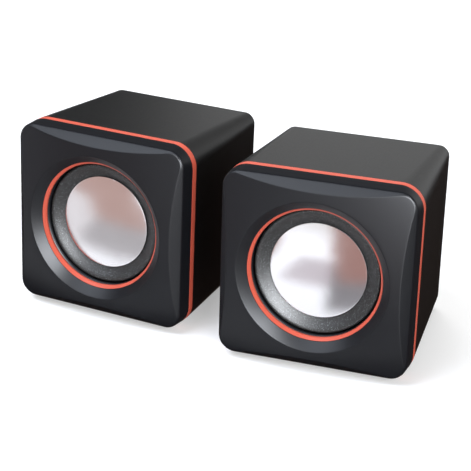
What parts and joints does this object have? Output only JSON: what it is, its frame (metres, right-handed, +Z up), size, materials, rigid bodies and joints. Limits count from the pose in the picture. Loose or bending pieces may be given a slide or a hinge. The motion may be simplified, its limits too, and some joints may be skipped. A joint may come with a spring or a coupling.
{
  "type": "desktop speakers",
  "caption": "Pair of small cube desktop speakers: domed black fronts with bevelled sides, silver driver domes, coral rings and bands, drafted cabinets leaning back.",
  "frame": {"origin": "middle of the left speaker's base pad, on the surface the pair stands on", "axes": "+X to the right from the left speaker to the right one as a listener sees them, +Y to the rear, +Z up"},
  "size_m": [0.1555, 0.0828, 0.0703],
  "materials": {
    "black_shell": "satin black moulded plastic",
    "black_cabinet": "fine-textured black moulded plastic",
    "coral_band": "coral moulded plastic, satin",
    "coral_ring": "coral moulded plastic, satin",
    "foam_pad": "closed-cell foam",
    "plated_steel": "zinc plated",
    "paper": "pressed paper board",
    "foam_edge": "soft foam rubber",
    "paper_cone": "pressed paper pulp",
    "silver_dome": "polished, metallised",
    "aluminium_former": "bare",
    "copper_winding": "enamelled copper wire",
    "resin_cloth": "resin-dipped woven cloth",
    "ferrite": "sintered ferrite",
    "fibre_board": "laminated fibre board",
    "tinned_brass": "tinned",
    "screw_steel": "black oxide",
    "black_rubber": "matte",
    "green_board": "solder-masked glass-fibre board",
    "chip_case": "moulded epoxy",
    "capacitor_sleeve": "shrink sleeve",
    "knob_plastic": "fluted moulded plastic",
    "lead_sleeve": "insulated twin wire"
  },
  "bodies": {
    "left_speaker": {"left_band": "coral_band", "left_base_pad": "foam_pad", "left_basket": "plated_steel", "left_bezel": "black_shell", "left_bezel_screws": "screw_steel", "left_cabinet": "black_cabinet", "left_cable_gland": "black_rubber", "left_cover_screws": "screw_steel", "left_driver_screws": "screw_steel", "left_gasket": "paper", "left_magnet": "ferrite", "left_rear_cover": "black_cabinet", "left_solder_tabs": "tinned_brass", "left_terminal_strip": "fibre_board", "left_top_plate": "plated_steel", "left_trim_ring": "coral_ring", "left_yoke": "plated_steel"},
    "left_diaphragm": {"left_cone": "paper_cone", "left_dust_cap": "silver_dome", "left_coil_former": "aluminium_former", "left_voice_coil": "copper_winding", "left_surround": "foam_edge", "left_spider": "resin_cloth"},
    "right_speaker": {"right_amplifier_board": "green_board", "right_amplifier_chip": "chip_case", "right_band": "coral_band", "right_base_pad": "foam_pad", "right_basket": "plated_steel", "right_bezel": "black_shell", "right_bezel_screws": "screw_steel", "right_board_screws": "screw_steel", "right_cabinet": "black_cabinet", "right_cable_gland": "black_rubber", "right_capacitors": "capacitor_sleeve", "right_control_nut": "plated_steel", "right_cover_screws": "screw_steel", "right_driver_lead": "lead_sleeve", "right_driver_screws": "screw_steel", "right_gasket": "paper", "right_link_gland": "black_rubber", "right_magnet": "ferrite", "right_potentiometer": "plated_steel", "right_rear_cover": "black_cabinet", "right_solder_tabs": "tinned_brass", "right_terminal_strip": "fibre_board", "right_top_plate": "plated_steel", "right_trim_ring": "coral_ring", "right_yoke": "plated_steel"},
    "right_diaphragm": {"right_cone": "paper_cone", "right_dust_cap": "silver_dome", "right_coil_former": "aluminium_former", "right_voice_coil": "copper_winding", "right_surround": "foam_edge", "right_spider": "resin_cloth"},
    "volume_control": {"right_volume_knob": "knob_plastic", "right_control_shaft": "aluminium_former"}
  },
  "joints": [
    {"name": "left_cone_travel", "type": "slide", "parent": "left_speaker", "child": "left_diaphragm", "axis": [0, -0.9965, 0.0837], "range_m": [-0.001, 0.001], "stiffness_N_per_m": 1000, "deforming": ["left_surround", "left_spider"]},
    {"name": "speaker_spacing", "type": "slide", "parent": "left_speaker", "child": "right_speaker", "axis": [1, 0, 0], "range_m": [-0.01, 0.25]},
    {"name": "right_cone_travel", "type": "slide", "parent": "right_speaker", "child": "right_diaphragm", "axis": [0.1301, -0.988, 0.0837], "range_m": [-0.001, 0.001], "stiffness_N_per_m": 1000, "deforming": ["right_surround", "right_spider"]},
    {"name": "volume_turn", "type": "hinge", "parent": "right_speaker", "child": "volume_control", "pos_m": [0.0899, 0.03103, 0.03686], "axis": [-0.1301, 0.988, -0.0837], "range_deg": [-300, 0]}
  ]
}
